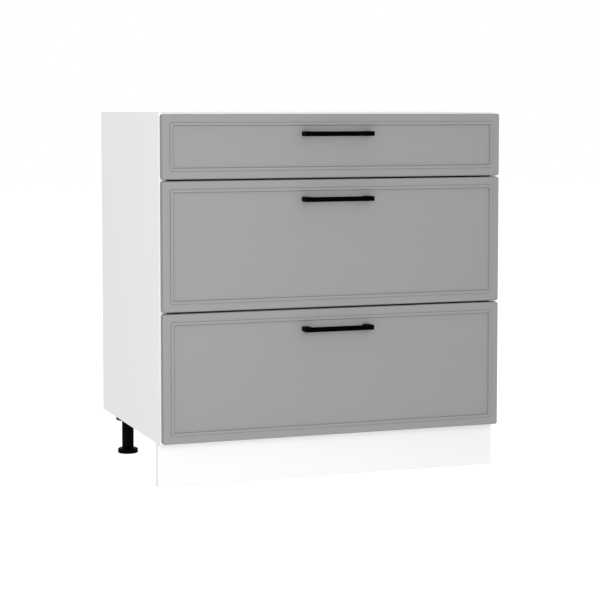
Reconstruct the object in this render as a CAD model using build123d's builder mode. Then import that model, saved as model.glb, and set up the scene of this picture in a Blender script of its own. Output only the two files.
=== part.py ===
from build123d import *
import os

# Kitchen base cabinet: a board carcass on four screw-adjusted legs, three drawers on
# ball-bearing slides and a clip-on plinth. Millimetres. +Z is up, the drawer fronts face -Y,
# and the origin is on the floor under the middle of the whole cabinet, handles included.

# Carcass
carcass_width = 800
carcass_depth = 520
carcass_height = 720
leg_height = 100
board = 16                      # coated chipboard
hardboard = 3                   # back panel and drawer bottoms
rail_depth = 100                # the two flat rails under the worktop
back_inset = 16                 # service gap behind the back panel
groove_depth = 8
groove_play = 0.2               # on each face of a board that slides into a groove
edge_radius = 0.6

# Drawer fronts: a milled board whose bead stands proud of the rim and of the sunk field
front_width = 796
front_gap = 3.5                 # between one front and the next
front_heights = {"bottom": 283, "middle": 283, "top": 140}
front_air = 1.5                 # behind the fronts, left by their soft stops
front_rim = 16.5
bead_rise = 2.5                 # above the rim
field_drop = 4                  # below the top of the bead
bead_outset = 17.2              # from the edge of the front to the foot of the bead
bead_inset = 23.6               # from the edge of the front to the inner lip of the bead
bead_corner = 5
bead_draft = 24                 # degrees, on both flanks of the bead
bead_soften = 0.4
front_corner = 4.5
front_round = 3

# Handles
handle_length = 160
handle_reach = 30               # in front of the rim of the front
handle_bar = 8                  # thickness of the grip
handle_post = 16
handle_height = 10.5
handle_drop = 43                # from the top of the front to the middle of the handle
handle_round = 1.2
handle_inner_round = 3

# Drawer boxes
box_heights = {"bottom": 200, "middle": 200, "top": 92}
box_lift = 20                   # from the bottom edge of the front to the box
box_length = 450
slide_room = 13                 # between box and carcass, on each side
box_groove_lift = 10
box_groove_depth = 6
box_bottom_bite = 5.5           # of the drawer bottom in its grooves

# Telescopic slides: three nested channels and two ball cages on each side of a drawer
slide_length = 450
slide_setback = 2               # behind the front edge of the carcass
slide_lift = 46                 # from the underside of the box to the middle of the slide
sheet = 1.2                     # steel of the channels
channel_lip = 10.4              # how far the outer and middle channels reach from the carcass
outer_half = 22.5               # half heights of the three channels
middle_half = 17.7
inner_half_height = 13.3
middle_start = 2.6              # distances from the carcass side
inner_start = 5.2
channel_corner = 1.0
cage_length = 215
cage_offset = 117.5             # from the front of the slide to the front of its cages
cage_sheet = 0.6
cage_strip = 1.0
cage_reach = 9.0
outer_cage = {"start": 1.6, "row": 19.5, "ball": 1.5, "ball_at": 6.5}
inner_cage = {"start": 4.2, "row": 14.9, "ball": 1.3, "ball_at": 7.2}
ball_pitch = 24
balls_in_row = 9

# Legs
leg_inset_x = 46                # from the outer face of the side panel to the leg's axis
leg_inset_front = 68
leg_inset_back = 57
socket_radius = 28
socket_height = 20
plate_x, plate_y, plate_z = 62, 62, 3
plate_corner = 8
socket_round = 2
socket_screw_at = (23, 23)
tube_radius = 14
tube_bore = 11.2
tube_seat = 15                  # of the tube inside the socket
foot_radius = 24
foot_thickness = 11
foot_bevel = 3
foot_underside_bevel = 1
stem_radius = 10.9
stem_top = 57
stem_chamfer = 1
leg_play = 0.2

# Plinth
plinth_setback = 20             # behind the front edge of the carcass
plinth_height = 95
plinth_top_gap = 0.5
clip_plate = (34, 26, 3)
clip_arm_height = 18
clip_wall = 2.6
clip_play = 0.4
clip_arm_overrun = 9            # past the leg's axis
clip_height = 70                # middle of the clip above the floor, over the foot's stem
clip_pin_radius = 3.9
clip_pin_length = 10
clip_pin_spread = 14

# Fittings
floor_joint_front = 156         # middles of the floor's two joints, behind the carcass front edge
floor_joint_back = 366
dowel_step = 40                 # between a cam and its dowel
cam_radius = 7.5
cam_depth = 12.5
cam_from_end = 34
cam_way_radius = 3.7
cam_slot = (9, 1.6, 2.5)        # length, width and depth of each arm of the cross slot
bolt_in_side = 11
bolt_hole_radius = 2.5
bolt_way_radius = 4
bolt_shank = 3                  # radii and lengths along the bolt, from its head to its tip
bolt_head_length = 3
bolt_neck = 1.7
bolt_neck_length = 5
bolt_neck_cone = 0.5
bolt_tip = 1.2
bolt_tip_length = 1.5
bolt_head_play = 3
dowel_radius = 4
dowel_in_side = 11
dowel_in_board = 19
dowel_chamfer = 1
fit_play = 0.1
drill_play = 0.1
end_play = 1                    # at the bottom of holes and grooves
cross_arm = 0.25                # width of a cross recess, as a share of the head's radius
small_screw = {"radius": 1.7, "length": 13, "head": 3.4, "recess": 1.2}
front_screw = {"radius": 1.9, "length": 26, "head": 3.7, "recess": 1.6}
box_screw = {"radius": 3.4, "length": 48, "head": 4.8, "recess": 3, "tip": 1.9, "tip_length": 3}
handle_screw = {"radius": 2, "length": 25, "head": 4, "recess": 1.4, "tip_chamfer": 0.7}
handle_screw_head = {"height": 2.4, "round": 1.4}
handle_hole_depth = 12
front_screw_from_side = 60
front_screw_from_edge = 30      # of the box front, at its top and bottom
box_screw_lift = 21             # above the bottom edge of a box side
box_screw_drop = 16             # below its top edge
system_line = 37                # first row of holes behind the carcass front edge
system_pitch = 192
slide_holes = 3
worktop_hole_radius = 2.5
worktop_hole_x = 320

# Places worked out from the dimensions above
total_depth = handle_reach + front_rim + front_air + carcass_depth
back_y = total_depth / 2
carcass_y = back_y - carcass_depth
front_back_y = carcass_y - front_air
rim_y = front_back_y - front_rim
bead_y = rim_y - bead_rise
field_y = bead_y + field_drop
handle_y = rim_y - handle_reach
carcass_mid_y = (carcass_y + back_y) / 2
half_width = carcass_width / 2
inside_half = half_width - board
top_z = leg_height + carcass_height
floor_z = leg_height + board
groove_width = hardboard + 2 * groove_play
groove_y = back_y - back_inset - groove_width / 2
rear_rail_y = groove_y - groove_width / 2 - rail_depth / 2
front_rail_y = carcass_y + rail_depth / 2
box_half = inside_half - slide_room
box_inside_half = box_half - board
box_back_y = front_back_y + box_length
slide_front_y = carcass_y + slide_setback
slide_back_y = slide_front_y + slide_length
slide_hole_ys = [carcass_y + system_line + system_pitch * step for step in range(slide_holes)]
leg_xs = (-half_width + leg_inset_x, half_width - leg_inset_x)
leg_ys = {"front": carcass_y + leg_inset_front, "rear": back_y - leg_inset_back}
handle_screw_x = handle_length / 2 - handle_post / 2

front_lows = {}
next_low = leg_height + front_gap
for place in ("bottom", "middle", "top"):
    front_lows[place] = next_low
    next_low = next_low + front_heights[place] + front_gap
slide_zs = {place: low + box_lift + slide_lift for place, low in front_lows.items()}


def board_joint(middle_y, low, cam_direction):
    """A cam and its dowel, side by side in the end of a board whose underside is low."""
    half_step = cam_direction * dowel_step / 2
    return {"cam_y": middle_y + half_step, "dowel_y": middle_y - half_step, "low": low}


floor_joints = [
    board_joint(carcass_y + floor_joint_front, leg_height, -1),
    board_joint(carcass_y + floor_joint_back, leg_height, 1),
]
rail_joints = [board_joint(y, top_z - board, -1) for y in (front_rail_y, rear_rail_y)]
joints = floor_joints + rail_joints
legs = [(x, y) for x in leg_xs for y in leg_ys.values()]
socket_screws = [
    (leg_x + side_x * socket_screw_at[0], leg_y + side_y * socket_screw_at[1])
    for leg_x, leg_y in legs
    for side_x in (-1, 1)
    for side_y in (-1, 1)
]

os.makedirs("parts", exist_ok=True)


def finish(piece, node):
    piece.part.label = node
    export_step(piece.part, f"parts/{node}.step")


def facing_back(y):
    """Plane across the cabinet at y, seen from behind: X runs to -X and Y to +Z."""
    return Plane(origin=(0, y, 0), x_dir=(-1, 0, 0), z_dir=(0, 1, 0))


def facing_front(y):
    """Plane across the cabinet at y, seen from the front: X runs to +X and Y to +Z."""
    return Plane(origin=(0, y, 0), x_dir=(1, 0, 0), z_dir=(0, -1, 0))


def both_sides(points):
    return [(side * x, z) for x, z in points for side in (-1, 1)]


# ---- Fasteners, made once and then placed: head outwards along +Z, shank along -Z ----

def cut_cross(size, height):
    """Cross recess in a screw's head whose top is at height."""
    head, arm = size["head"], size["head"] * cross_arm
    down = (Align.CENTER, Align.CENTER, Align.MAX)
    with Locations((0, 0, height)):
        Box(head, arm, size["recess"], align=down, mode=Mode.SUBTRACT)
        Box(arm, head, size["recess"], align=down, mode=Mode.SUBTRACT)


def countersunk(size):
    """Countersunk cross-head screw whose head is flush with its own XY plane."""
    radius, length, head = size["radius"], size["length"], size["head"]
    with BuildPart() as screw:
        with BuildSketch(Plane.XZ):
            with BuildLine():
                Polyline(
                    (0, 0),
                    (head, 0),
                    (radius, radius - head),
                    (radius, 2 * radius - length),
                    (0, -length),
                    close=True,
                )
            make_face()
        revolve(axis=Axis.Z)
        cut_cross(size, 0)
    return screw.part


def hex_socket_screw(size):
    """Coarse one-piece furniture screw with a flat countersunk head and a hexagon socket."""
    radius, length, head = size["radius"], size["length"], size["head"]
    with BuildPart() as screw:
        with BuildSketch(Plane.XZ):
            with BuildLine():
                Polyline(
                    (0, 0),
                    (head, 0),
                    (radius, radius - head),
                    (radius, size["tip_length"] - length),
                    (size["tip"], -length),
                    (0, -length),
                    close=True,
                )
            make_face()
        revolve(axis=Axis.Z)
        with BuildSketch(Plane.XY):
            RegularPolygon(head / 2, 6)
        extrude(amount=-size["recess"], mode=Mode.SUBTRACT)
    return screw.part


def pan_head_screw(size, dome):
    """Machine screw with a domed head that bears on its own XY plane."""
    with BuildPart() as screw:
        Cylinder(size["radius"], size["length"], align=(Align.CENTER, Align.CENTER, Align.MAX))
        chamfer(screw.edges().group_by(Axis.Z)[0], size["tip_chamfer"])
        Cylinder(size["head"], dome["height"], align=(Align.CENTER, Align.CENTER, Align.MIN))
        fillet(screw.edges().group_by(Axis.Z)[-1], dome["round"])
        cut_cross(size, dome["height"])
    return screw.part


def place_copies(piece, node, planes):
    with BuildPart() as group:
        with Locations(*planes):
            add(piece)
    finish(group, node)


# ---- Carcass ----

def bore_board_ends(low, cam_y, dowel_y):
    """Cam pocket, bolt way and dowel hole at both ends of a board whose underside is low."""
    middle = low + board / 2
    for side in (-1, 1):
        with Locations((side * (inside_half - cam_from_end), cam_y, low)):
            Cylinder(
                cam_radius,
                cam_depth,
                align=(Align.CENTER, Align.CENTER, Align.MIN),
                mode=Mode.SUBTRACT,
            )
        bores = (
            (cam_y, bolt_way_radius, cam_from_end),
            (dowel_y, dowel_radius, dowel_in_board + end_play),
        )
        for y, radius, depth in bores:
            with Locations((side * inside_half, y, middle)):
                Cylinder(
                    radius,
                    depth,
                    rotation=(0, -90 * side, 0),
                    align=(Align.CENTER, Align.CENTER, Align.MIN),
                    mode=Mode.SUBTRACT,
                )


screw_holes = [(y, z) for z in slide_zs.values() for y in slide_hole_ys]

with BuildPart() as side_panel_left:
    with BuildSketch(Plane.YZ.offset(-half_width)):
        with Locations((carcass_mid_y, leg_height + carcass_height / 2)):
            Rectangle(carcass_depth, carcass_height)
    extrude(amount=board)
    fillet(side_panel_left.edges().filter_by(Axis.Z).group_by(Axis.Y)[0], edge_radius)
    with BuildSketch(Plane.YZ.offset(-inside_half)):
        with Locations((groove_y, leg_height + carcass_height / 2)):
            Rectangle(groove_width, carcass_height)
    extrude(amount=-groove_depth, mode=Mode.SUBTRACT)
    with Locations(Plane.YZ.offset(-inside_half)):
        with Locations(*[(joint["cam_y"], joint["low"] + board / 2) for joint in joints]):
            Hole(bolt_hole_radius, bolt_in_side + end_play)
        with Locations(*[(joint["dowel_y"], joint["low"] + board / 2) for joint in joints]):
            Hole(dowel_radius, dowel_in_side + end_play)
        with Locations(*screw_holes):
            CounterSinkHole(
                small_screw["radius"] + drill_play,
                small_screw["head"] + drill_play - sheet,
                small_screw["length"] - sheet + end_play,
                counter_sink_angle=90,
            )
finish(side_panel_left, "side_panel_left")

with BuildPart() as side_panel_right:
    mirror(side_panel_left.part, about=Plane.YZ)
finish(side_panel_right, "side_panel_right")

with BuildPart() as bottom_panel:
    with BuildSketch(Plane.XY.offset(leg_height)):
        with Locations((0, carcass_mid_y)):
            Rectangle(2 * inside_half, carcass_depth)
    extrude(amount=board)
    fillet(bottom_panel.edges().filter_by(Axis.X).group_by(Axis.Y)[0], edge_radius)
    with BuildSketch(Plane.XY.offset(floor_z)):
        with Locations((0, groove_y)):
            Rectangle(2 * inside_half, groove_width)
    extrude(amount=-groove_depth, mode=Mode.SUBTRACT)
    for joint in floor_joints:
        bore_board_ends(**joint)
    with Locations(*[(x, y, leg_height) for x, y in socket_screws]):
        Cylinder(
            small_screw["radius"] + drill_play,
            small_screw["length"] - plate_z + end_play,
            align=(Align.CENTER, Align.CENTER, Align.MIN),
            mode=Mode.SUBTRACT,
        )
finish(bottom_panel, "bottom_panel")

with BuildPart() as top_rails:
    with BuildSketch(Plane.XY.offset(top_z - board)):
        with Locations((0, front_rail_y), (0, rear_rail_y)):
            Rectangle(2 * inside_half, rail_depth)
    extrude(amount=board)
    fillet(top_rails.edges().filter_by(Axis.X).group_by(Axis.Y)[0], edge_radius)
    for joint in rail_joints:
        bore_board_ends(**joint)
    with Locations(
        *[(side * worktop_hole_x, y, top_z) for side in (-1, 1) for y in (front_rail_y, rear_rail_y)]
    ):
        Hole(worktop_hole_radius, board)
finish(top_rails, "top_rails")

back_low = floor_z - groove_depth + end_play
with BuildPart() as back_panel:
    with BuildSketch(facing_back(groove_y - hardboard / 2)):
        with Locations((0, (back_low + top_z) / 2)):
            Rectangle(2 * (inside_half + groove_depth - end_play), top_z - back_low)
    extrude(amount=hardboard)
finish(back_panel, "back_panel")

# Cam locks: a drum with a way for the bolt's head and a cross slot in its lower face
with BuildPart() as cam_lock:
    Cylinder(
        cam_radius - fit_play,
        cam_depth - 2 * fit_play,
        align=(Align.CENTER, Align.CENTER, Align.MIN),
    )
    with Locations((0, 0, board / 2)):
        Cylinder(
            cam_way_radius,
            cam_radius,
            rotation=(0, 90, 0),
            align=(Align.CENTER, Align.CENTER, Align.MIN),
            mode=Mode.SUBTRACT,
        )
    slot_length, slot_width, slot_depth = cam_slot
    with BuildSketch(Plane.XY):
        Rectangle(slot_length, slot_width)
        Rectangle(slot_width, slot_length)
    extrude(amount=slot_depth, mode=Mode.SUBTRACT)

# Cam bolts: thread in the side panel, shank in the board's end, head in the cam
bolt_reach = cam_from_end - bolt_head_play
neck_high = bolt_reach - bolt_head_length - bolt_neck_cone
neck_low = neck_high - bolt_neck_length
with BuildPart() as cam_bolt:
    with BuildSketch(Plane.XZ):
        with BuildLine():
            Polyline(
                (0, bolt_reach),
                (bolt_shank, bolt_reach),
                (bolt_shank, bolt_reach - bolt_head_length),
                (bolt_neck, neck_high),
                (bolt_neck, neck_low),
                (bolt_shank, neck_low - bolt_neck_cone),
                (bolt_shank, 0),
                (bolt_hole_radius - fit_play, 0),
                (bolt_hole_radius - fit_play, bolt_tip_length - bolt_in_side),
                (bolt_tip, -bolt_in_side),
                (0, -bolt_in_side),
                close=True,
            )
        make_face()
    revolve(axis=Axis.Z)

with BuildPart() as dowel:
    with Locations((0, 0, -dowel_in_side)):
        Cylinder(
            dowel_radius - fit_play / 2,
            dowel_in_side + dowel_in_board,
            align=(Align.CENTER, Align.CENTER, Align.MIN),
        )
    chamfer(dowel.edges().filter_by(GeomType.CIRCLE), dowel_chamfer)

cam_places, bolt_places, dowel_places = [], [], []
for joint in joints:
    cam_y, dowel_y, low = joint["cam_y"], joint["dowel_y"], joint["low"]
    for side in (-1, 1):
        end_x = side * inside_half
        cam_x = end_x - side * cam_from_end
        cam_places.append(Plane(origin=(cam_x, cam_y, low), x_dir=(side, 0, 0)))
        bolt_places.append(Plane(origin=(end_x, cam_y, low + board / 2), z_dir=(-side, 0, 0)))
        dowel_places.append(Plane(origin=(end_x, dowel_y, low + board / 2), z_dir=(-side, 0, 0)))
place_copies(cam_lock.part, "cam_locks", cam_places)
place_copies(cam_bolt.part, "cam_bolts", bolt_places)
place_copies(dowel.part, "wooden_dowels", dowel_places)


# ---- Legs ----

with BuildPart() as leg_sockets:
    with BuildSketch(Plane.XY.offset(leg_height - socket_height)):
        with Locations(*legs):
            Circle(socket_radius)
    extrude(amount=socket_height)
    fillet(leg_sockets.edges().group_by(Axis.Z)[0], socket_round)
    with BuildSketch(Plane.XY.offset(leg_height - plate_z)):
        with Locations(*legs):
            RectangleRounded(plate_x, plate_y, plate_corner)
    extrude(amount=plate_z)
    with BuildSketch(Plane.XY.offset(leg_height - socket_height)):
        with Locations(*legs):
            Circle(tube_radius + fit_play)
    extrude(amount=tube_seat + leg_play, mode=Mode.SUBTRACT)
    with Locations(
        *[Plane(origin=(x, y, leg_height - plate_z), z_dir=(0, 0, -1)) for x, y in socket_screws]
    ):
        CounterSinkHole(
            small_screw["radius"] + drill_play,
            small_screw["head"] + drill_play,
            plate_z,
            counter_sink_angle=90,
        )
finish(leg_sockets, "leg_sockets")

tube_low = foot_thickness + leg_play
with BuildPart() as leg_tubes:
    with BuildSketch(Plane.XY.offset(tube_low)):
        with Locations(*legs):
            Circle(tube_radius)
            Circle(tube_bore, mode=Mode.SUBTRACT)
    extrude(amount=leg_height - socket_height + tube_seat - tube_low)
finish(leg_tubes, "leg_tubes")

for end, leg_y in leg_ys.items():
    for hand, leg_x in zip(("left", "right"), leg_xs):
        with BuildPart() as leg_foot:
            with BuildSketch(Plane(origin=(leg_x, leg_y, 0), x_dir=(1, 0, 0), z_dir=(0, -1, 0))):
                with BuildLine():
                    Polyline(
                        (0, 0),
                        (foot_radius - foot_underside_bevel, 0),
                        (foot_radius, foot_underside_bevel),
                        (foot_radius, foot_thickness - foot_bevel),
                        (foot_radius - foot_bevel, foot_thickness),
                        (stem_radius, foot_thickness),
                        (stem_radius, stem_top - stem_chamfer),
                        (stem_radius - stem_chamfer, stem_top),
                        (0, stem_top),
                        close=True,
                    )
                make_face()
            revolve(axis=Axis((leg_x, leg_y, 0), (0, 0, 1)))
        finish(leg_foot, f"leg_foot_{end}_{hand}")


# ---- Plinth ----

plinth_front_y = carcass_y + plinth_setback
plinth_back_y = plinth_front_y + board
plinth_low = leg_height - plinth_top_gap - plinth_height
clip_pins = [
    (leg_x, clip_height + side * clip_pin_spread / 2) for leg_x in leg_xs for side in (-1, 1)
]

with BuildPart() as plinth_board:
    with BuildSketch(facing_front(plinth_back_y)):
        with Locations((0, plinth_low + plinth_height / 2)):
            Rectangle(carcass_width, plinth_height)
    extrude(amount=board)
    fillet(plinth_board.edges().group_by(Axis.Y)[0], edge_radius)
    with Locations(facing_back(plinth_back_y)):
        with Locations(*clip_pins):
            Hole(clip_pin_radius + fit_play, clip_pin_length + end_play)
finish(plinth_board, "plinth_board")

# Spring fork that snaps round the front leg from the front, on a plate with two pressed pins
plate_wide, plate_tall, plate_thick = clip_plate
fork_bore = tube_radius + clip_play
fork_half = fork_bore + clip_wall
fork_front_y = plinth_back_y + plate_thick
fork_back_y = leg_ys["front"] + clip_arm_overrun
with BuildPart() as plinth_clips:
    with BuildSketch(facing_front(fork_front_y)):
        with Locations(*[(leg_x, clip_height) for leg_x in leg_xs]):
            RectangleRounded(plate_wide, plate_tall, clip_wall)
    extrude(amount=plate_thick)
    with BuildSketch(Plane.XY.offset(clip_height - clip_arm_height / 2)):
        for leg_x in leg_xs:
            with Locations((leg_x, (fork_front_y + fork_back_y) / 2)):
                Rectangle(2 * fork_half, fork_back_y - fork_front_y)
            with Locations((leg_x, leg_ys["front"])):
                Circle(fork_bore, mode=Mode.SUBTRACT)
            with Locations((leg_x, leg_ys["front"] + clip_arm_overrun)):
                Rectangle(2 * fork_bore, 2 * clip_arm_overrun, mode=Mode.SUBTRACT)
    extrude(amount=clip_arm_height)
    with BuildSketch(facing_front(plinth_back_y)):
        with Locations(*clip_pins):
            Circle(clip_pin_radius)
    extrude(amount=clip_pin_length)
finish(plinth_clips, "plinth_clips")


# ---- Slides: sections drawn for the right side, distances measured from the carcass side ----

def slide_x(distance):
    return inside_half - distance


def channel(z, start, end, half_height, web_at_start):
    """Channel section between two distances, open away from its web, along the slide."""
    near, far = slide_x(start), slide_x(end)
    web_x = near if web_at_start else far
    toward_open = -1 if web_at_start else 1
    with BuildPart() as member:
        with BuildSketch(facing_front(slide_back_y)) as section:
            with Locations(((near + far) / 2, z)):
                Rectangle(near - far, 2 * half_height)
            fillet(
                section.vertices().filter_by(lambda v: abs(v.X - web_x) < sheet / 2),
                channel_corner + sheet / 2,
            )
            with Locations(((near + far) / 2 + toward_open * sheet, z)):
                Rectangle(near - far, 2 * (half_height - sheet), mode=Mode.SUBTRACT)
        extrude(amount=slide_length)
    return member.part


def ball_cage(z, cage):
    """Thin U-shaped cage with a row of balls in its upper and its lower strip."""
    start, row = cage["start"], cage["row"]
    near, far = slide_x(start), slide_x(cage_reach)
    cage_front_y = slide_front_y + cage_offset
    first_ball = cage_front_y + (cage_length - ball_pitch * (balls_in_row - 1)) / 2
    with BuildPart() as retainer:
        with BuildSketch(facing_front(cage_front_y + cage_length)):
            with Locations((near - cage_sheet / 2, z)):
                Rectangle(cage_sheet, 2 * row)
            with Locations(((near + far) / 2, z - row), ((near + far) / 2, z + row)):
                Rectangle(near - far, cage_strip)
        extrude(amount=cage_length)
        with Locations(
            *[
                (slide_x(cage["ball_at"]), first_ball + ball_pitch * ball, z + side * row)
                for ball in range(balls_in_row)
                for side in (-1, 1)
            ]
        ):
            Sphere(cage["ball"])
    return retainer.part


def screw_planes(distance, z, direction):
    """Planes at the slide's three holes on the right side, facing direction along X."""
    return [
        Plane(origin=(slide_x(distance), y, z), z_dir=(direction, 0, 0)) for y in slide_hole_ys
    ]


def drill_channel(distance, z, direction):
    with Locations(*screw_planes(distance, z, direction)):
        CounterSinkHole(
            small_screw["radius"] + drill_play,
            small_screw["head"] + drill_play,
            sheet,
            counter_sink_angle=90,
        )


with BuildPart() as slide_outer_members:
    for z in slide_zs.values():
        add(channel(z, 0, channel_lip, outer_half, web_at_start=True))
        drill_channel(sheet, z, -1)
    mirror(about=Plane.YZ)
finish(slide_outer_members, "slide_outer_members")

chipboard_screw = countersunk(small_screw)
with BuildPart() as chipboard_screws:
    for z in slide_zs.values():
        with Locations(*screw_planes(sheet, z, -1)):
            add(chipboard_screw)
    mirror(about=Plane.YZ)
    with Locations(
        *[
            Plane(origin=(x, y, leg_height - plate_z), z_dir=(0, 0, -1))
            for x, y in socket_screws
        ]
    ):
        add(chipboard_screw)
finish(chipboard_screws, "chipboard_screws")

for place, z in slide_zs.items():
    with BuildPart() as slide_intermediate:
        add(channel(z, middle_start, channel_lip, middle_half, web_at_start=True))
        mirror(about=Plane.YZ)
    finish(slide_intermediate, f"slide_intermediate_{place}")

    for name, cage in (("outer", outer_cage), ("inner", inner_cage)):
        with BuildPart() as ball_cages:
            add(ball_cage(z, cage))
            mirror(about=Plane.YZ)
        finish(ball_cages, f"ball_cages_{name}_{place}")

    with BuildPart() as slide_inner:
        add(channel(z, inner_start, slide_room, inner_half_height, web_at_start=False))
        drill_channel(slide_room - sheet, z, 1)
        mirror(about=Plane.YZ)
    finish(slide_inner, f"slide_inner_{place}")

    with BuildPart() as slide_inner_screws:
        with Locations(*screw_planes(slide_room - sheet, z, 1)):
            add(chipboard_screw)
        mirror(about=Plane.YZ)
    finish(slide_inner_screws, f"slide_inner_screws_{place}")


# ---- Drawers ----

box_screw_ys = (front_back_y + board / 2, box_back_y - board / 2)
long_screw = countersunk(front_screw)
corner_screw = hex_socket_screw(box_screw)
grip_screw = pan_head_screw(handle_screw, handle_screw_head)
front_screw_x = box_inside_half - front_screw_from_side


def bottom_groove(low):
    """Centre height and height of the groove that holds a drawer bottom."""
    tall = hardboard + 2 * groove_play
    return low + box_groove_lift + tall / 2, tall


for place, front_low in front_lows.items():
    front_high = front_low + front_heights[place]
    front_mid = (front_low + front_high) / 2
    box_low = front_low + box_lift
    box_tall = box_heights[place]
    box_mid = box_low + box_tall / 2
    handle_z = front_high - handle_drop
    groove_z, groove_tall = bottom_groove(box_low)
    box_high = box_low + box_tall
    box_screw_zs = (box_low + box_screw_lift, box_high - box_screw_drop)
    front_screw_points = both_sides(
        [
            (front_screw_x, box_low + front_screw_from_edge),
            (front_screw_x, box_high - front_screw_from_edge),
        ]
    )
    handle_points = both_sides([(handle_screw_x, handle_z)])

    with BuildPart() as front:
        with BuildSketch(facing_front(front_back_y)):
            with Locations((0, front_mid)):
                RectangleRounded(front_width, front_heights[place], front_corner)
        extrude(amount=front_rim)
        fillet(front.edges().group_by(Axis.Y)[0], front_round)
        with BuildSketch(facing_front(rim_y)):
            with Locations((0, front_mid)):
                RectangleRounded(
                    front_width - 2 * bead_outset,
                    front_heights[place] - 2 * bead_outset,
                    bead_corner,
                )
        extrude(amount=bead_rise, taper=bead_draft)
        with BuildSketch(facing_front(bead_y)):
            with Locations((0, front_mid)):
                Rectangle(
                    front_width - 2 * bead_inset, front_heights[place] - 2 * bead_inset
                )
        extrude(amount=-field_drop, taper=bead_draft, mode=Mode.SUBTRACT)
        fillet(front.edges().group_by(Axis.Y)[0], bead_soften)
        with Locations(facing_back(front_back_y)):
            with Locations(*front_screw_points):
                Hole(
                    front_screw["radius"] + drill_play, front_screw["length"] - board + end_play
                )
            with Locations(*handle_points):
                Hole(handle_screw["radius"] + drill_play, front_rim)
    finish(front, f"front_{place}")

    with BuildPart() as handle:
        with BuildSketch(Plane.XY.offset(handle_z - handle_height / 2)) as bridge:
            with Locations((0, (handle_y + field_y) / 2)):
                Rectangle(handle_length, field_y - handle_y)
            fillet(bridge.vertices().group_by(Axis.Y)[0], handle_round)
            with Locations((0, handle_y + handle_bar)):
                Rectangle(
                    handle_length - 2 * handle_post,
                    2 * (field_y - handle_y),
                    align=(Align.CENTER, Align.MIN),
                    mode=Mode.SUBTRACT,
                )
            gap_corners = bridge.vertices().filter_by(
                lambda v: abs(v.Y - handle_y - handle_bar) < handle_bar / 4
            )
            fillet(gap_corners, handle_inner_round)
        extrude(amount=handle_height)
        top_edges = handle.faces().sort_by(Axis.Z)[-1].edges()
        low_edges = handle.faces().sort_by(Axis.Z)[0].edges()
        fillet(
            (top_edges + low_edges).filter_by(
                lambda e: e.center().Y < field_y - handle_round
            ),
            handle_round / 2,
        )
        with Locations(facing_back(field_y)):
            with Locations(*handle_points):
                Hole(handle_screw["radius"] + drill_play, handle_hole_depth)
    finish(handle, f"handle_{place}")

    with BuildPart() as handle_screws:
        with Locations(facing_back(front_back_y)):
            with Locations(*handle_points):
                add(grip_screw)
    finish(handle_screws, f"handle_screws_{place}")

    with BuildPart() as box_sides:
        with BuildSketch(Plane.YZ.offset(box_inside_half)):
            with Locations(((front_back_y + box_back_y) / 2, box_mid)):
                Rectangle(box_length, box_tall)
        extrude(amount=board)
        with BuildSketch(Plane.YZ.offset(box_inside_half)):
            with Locations(((front_back_y + box_back_y) / 2, groove_z)):
                Rectangle(box_length, groove_tall)
        extrude(amount=box_groove_depth, mode=Mode.SUBTRACT)
        with Locations(
            *[
                Plane(origin=(box_half, y, z), z_dir=(1, 0, 0))
                for y in box_screw_ys
                for z in box_screw_zs
            ]
        ):
            CounterSinkHole(
                box_screw["radius"] + drill_play,
                box_screw["head"] + drill_play,
                counter_sink_angle=90,
                depth=board,
            )
        with Locations(*screw_planes(slide_room, slide_zs[place], 1)):
            CounterSinkHole(
                small_screw["radius"] + drill_play,
                small_screw["head"] + drill_play - sheet,
                small_screw["length"] - sheet + end_play,
                counter_sink_angle=90,
            )
        mirror(about=Plane.YZ)
    finish(box_sides, f"box_sides_{place}")

    with BuildPart() as box_screws:
        with Locations(
            *[
                Plane(origin=(side * box_half, y, z), z_dir=(side, 0, 0))
                for side in (-1, 1)
                for y in box_screw_ys
                for z in box_screw_zs
            ]
        ):
            add(corner_screw)
    finish(box_screws, f"box_screws_{place}")

    # Front and back of the box: the same board, grooved on the face towards the drawer
    for name, outer_y, inward in (("front", front_back_y, 1), ("back", box_back_y, -1)):
        inner_face_y = outer_y + inward * board
        with BuildPart() as box_end:
            with BuildSketch(facing_back(outer_y)):
                with Locations((0, box_mid)):
                    Rectangle(2 * box_inside_half, box_tall)
            extrude(amount=inward * board)
            with BuildSketch(facing_back(inner_face_y)):
                with Locations((0, groove_z)):
                    Rectangle(2 * box_inside_half, groove_tall)
            extrude(amount=-inward * box_groove_depth, mode=Mode.SUBTRACT)
            for side in (-1, 1):
                with Locations(
                    *[
                        Plane(
                            origin=(side * box_inside_half, outer_y + inward * board / 2, z),
                            z_dir=(side, 0, 0),
                        )
                        for z in box_screw_zs
                    ]
                ):
                    Hole(
                        box_screw["radius"] + drill_play, box_screw["length"] - board + end_play
                    )
            if name == "front":
                with Locations(facing_back(inner_face_y)):
                    with Locations(*front_screw_points):
                        CounterSinkHole(
                            front_screw["radius"] + drill_play,
                            front_screw["head"] + drill_play,
                            board,
                            counter_sink_angle=90,
                        )
                    if handle_z < box_high:
                        with Locations(*handle_points):
                            Hole(handle_screw["head"] + end_play, board)
        finish(box_end, f"box_{name}_{place}")

    with BuildPart() as front_screws:
        with Locations(facing_back(front_back_y + board)):
            with Locations(*front_screw_points):
                add(long_screw)
    finish(front_screws, f"front_screws_{place}")

    with BuildPart() as box_bottom:
        with BuildSketch(Plane.XY.offset(groove_z - hardboard / 2)):
            with Locations((0, (front_back_y + box_back_y) / 2)):
                Rectangle(
                    2 * (box_inside_half + box_bottom_bite),
                    box_length - 2 * (board - box_bottom_bite),
                )
        extrude(amount=hardboard)
    finish(box_bottom, f"box_bottom_{place}")
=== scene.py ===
import math

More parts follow.
